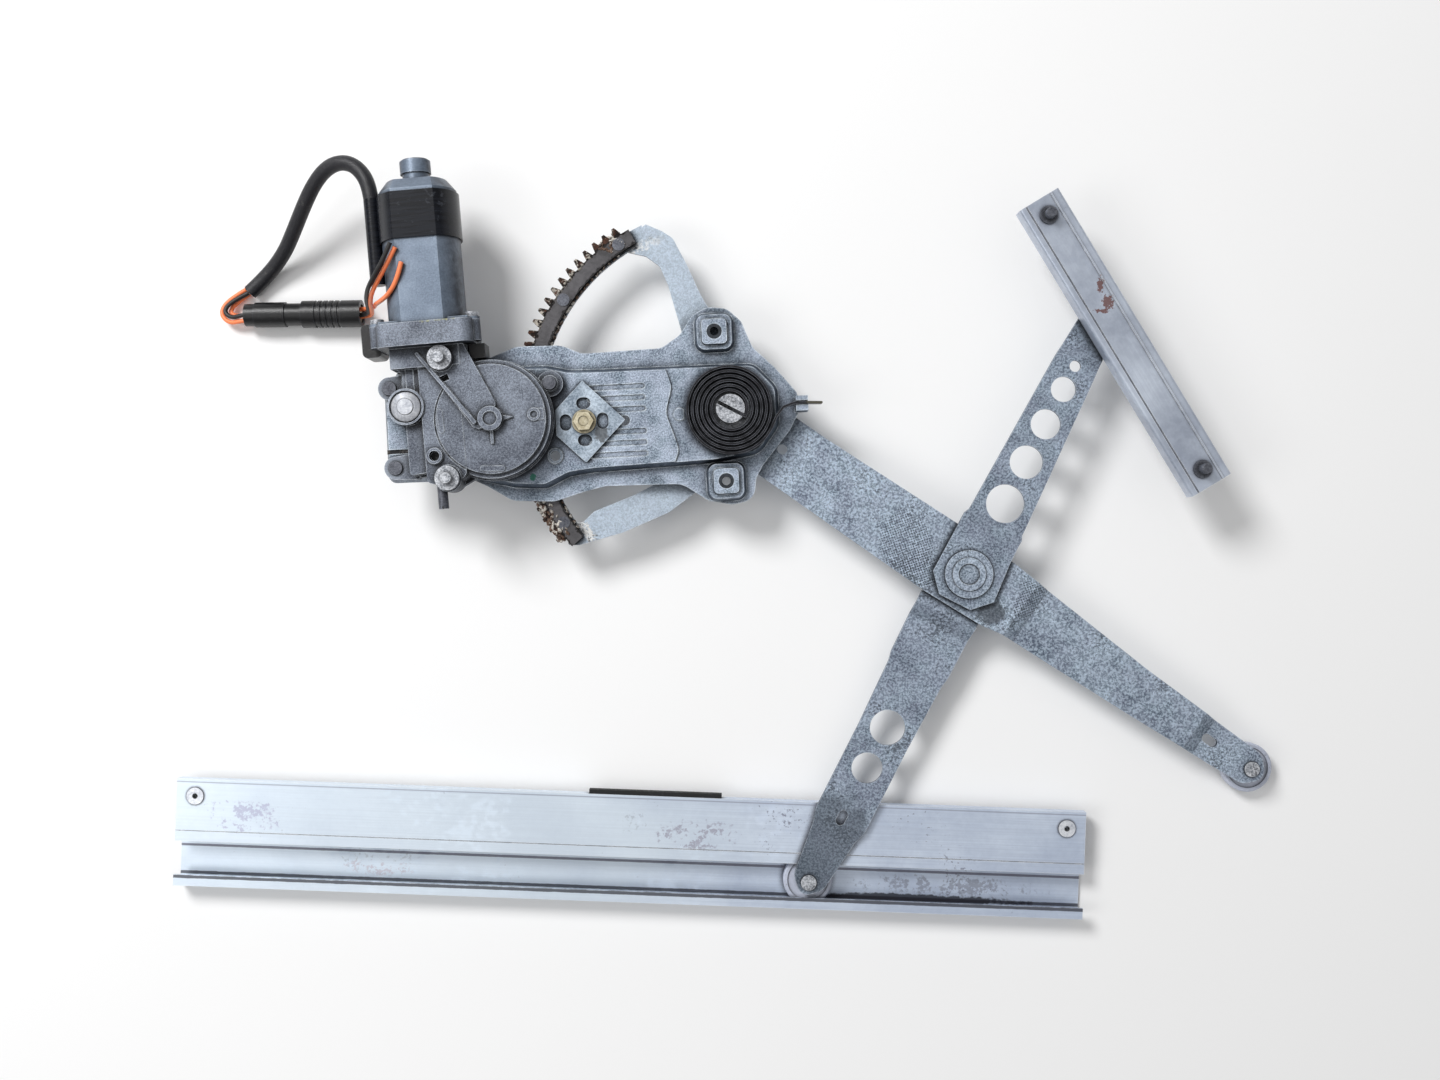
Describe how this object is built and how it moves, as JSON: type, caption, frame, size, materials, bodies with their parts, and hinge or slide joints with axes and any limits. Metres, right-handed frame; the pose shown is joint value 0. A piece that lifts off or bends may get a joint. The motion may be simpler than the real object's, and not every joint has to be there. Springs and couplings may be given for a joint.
{
  "type": "window regulator",
  "caption": "Scissor-arm window regulator: gear motor and pressed base plate turning a toothed sector arm, an equaliser arm, a long glass rail and a short fixed rail.",
  "frame": {"origin": "axis of the upper mounting hole, in the face that bolts to the door's inner panel", "axes": "+Z out of the mounting face, towards the cabin; +X along the glass rail"},
  "size_m": [0.648, 0.4292, 0.0723],
  "materials": {
    "zinc_plate": "zinc-plated pressed sheet, dull",
    "zinc_arm": "zinc-plated sheet, speckled",
    "yellow_zinc": "yellow zinc",
    "bright_steel": "bright plated",
    "dark_steel": "dark, oiled",
    "spring_steel": "black, greased",
    "rusty_steel": "worn teeth with old grease",
    "diecast": "as cast, grey",
    "can_steel": "blue-grey satin",
    "rail_aluminium": "extruded, scuffed",
    "copper": "bare copper",
    "bronze": "sintered bronze",
    "magnet": "sintered, matt",
    "black_plastic": "matt black",
    "roller_plastic": "natural nylon",
    "sleeve_black": "black fabric tape",
    "cable_black": "black sheath",
    "wire_orange": "orange insulation",
    "seal_cream": "cream rubber",
    "pad_rubber": "black rubber"
  },
  "bodies": {
    "base": {"base_plate": "zinc_plate", "diamond_plate": "zinc_plate", "diamond_bolt": "yellow_zinc", "diamond_nut": "dark_steel", "upper_weld_nut": "dark_steel", "lower_weld_nut": "dark_steel", "pivot_bush": "bright_steel", "counterbalance_spring": "spring_steel", "gearbox_housing": "diecast", "gearbox_cover": "zinc_plate", "gearbox_screws": "dark_steel", "mount_post_upper": "bright_steel", "mount_post_lower": "bright_steel", "mount_bush": "bright_steel", "thrust_screw": "dark_steel", "motor_can": "can_steel", "motor_flange_screws": "bright_steel", "brush_holder": "black_plastic", "lead_housing": "black_plastic", "motor_sleeve": "sleeve_black", "end_bearing": "bronze", "field_magnets": "magnet", "motor_cable": "cable_black", "cable_wires": "wire_orange", "cable_plug": "black_plastic", "harness_socket": "black_plastic", "socket_seal": "seal_cream", "harness_wires": "wire_orange"},
    "rotor": {"rotor_shaft": "dark_steel", "worm": "bright_steel", "armature": "dark_steel", "commutator": "copper"},
    "drive": {"worm_wheel": "roller_plastic", "output_shaft": "bright_steel", "drive_pinion": "bright_steel"},
    "lift_arm": {"lift_arm": "zinc_arm", "sector_teeth": "rusty_steel", "sector_rivets": "dark_steel", "pivot_pin": "dark_steel", "lift_roller_pin": "bright_steel"},
    "lift_roller": {"lift_roller": "roller_plastic"},
    "equaliser": {"equaliser_upper_arm": "zinc_arm", "equaliser_lower_arm": "zinc_arm", "centre_rivet": "bright_steel", "centre_washers": "bright_steel", "glass_roller_pin": "bright_steel", "slider_pin": "bright_steel"},
    "glass_roller": {"glass_roller": "roller_plastic"},
    "glass_rail": {"glass_rail": "rail_aluminium", "rail_rivet_nuts": "bright_steel", "rubber_pad": "pad_rubber"},
    "rail_slider": {"rail_slider": "roller_plastic"},
    "fixed_rail": {"fixed_rail": "rail_aluminium", "fixed_rail_studs": "bright_steel"}
  },
  "joints": [
    {"name": "lift_pivot", "type": "hinge", "parent": "base", "child": "lift_arm", "pos_m": [0.011, -0.0445, 0], "axis": [0, 0, 1], "range_deg": [-6, 48], "deforming": ["counterbalance_spring"]},
    {"name": "drive_spin", "type": "hinge", "parent": "base", "child": "drive", "pos_m": [-0.12349, -0.05627, 0], "axis": [0, 0, 1], "continuous": true},
    {"name": "rotor_spin", "type": "hinge", "parent": "base", "child": "rotor", "pos_m": [-0.1589, -0.03039, 0.008], "axis": [-0.1219, 0.9925, 0], "continuous": true},
    {"name": "lift_roller_spin", "type": "hinge", "parent": "lift_arm", "child": "lift_roller", "pos_m": [0.32578, -0.24273, -0.034], "axis": [0, 0, 1], "continuous": true},
    {"name": "scissor_pivot", "type": "hinge", "parent": "lift_arm", "child": "equaliser", "pos_m": [0.15316, -0.13402, -0.016], "axis": [0, 0, 1], "range_deg": [-97, 13]},
    {"name": "glass_roller_spin", "type": "hinge", "parent": "equaliser", "child": "glass_roller", "pos_m": [0.06759, -0.31921, -0.034], "axis": [0, 0, 1], "range_deg": [-7, 49]},
    {"name": "glass_rail_slide", "type": "slide", "parent": "glass_roller", "child": "glass_rail", "axis": [1, 0, 0], "range_m": [-0.145, 0.358]},
    {"name": "rail_slider_spin", "type": "hinge", "parent": "equaliser", "child": "rail_slider", "pos_m": [0.22363, 0.01848, 0], "axis": [0, 0, 1], "range_deg": [-7, 49]},
    {"name": "fixed_rail_slide", "type": "slide", "parent": "rail_slider", "child": "fixed_rail", "axis": [0.549, -0.8358, 0], "range_m": [-0.1, 0.06]}
  ],
  "couplings": [
    {"joint": "drive_spin", "follows": "lift_pivot", "ratio": -12.333},
    {"joint": "rotor_spin", "follows": "lift_pivot", "ratio": 530.33},
    {"joint": "scissor_pivot", "follows": "lift_pivot", "ratio": -2},
    {"joint": "glass_roller_spin", "follows": "lift_pivot", "ratio": 1},
    {"joint": "rail_slider_spin", "follows": "lift_pivot", "ratio": 1}
  ]
}
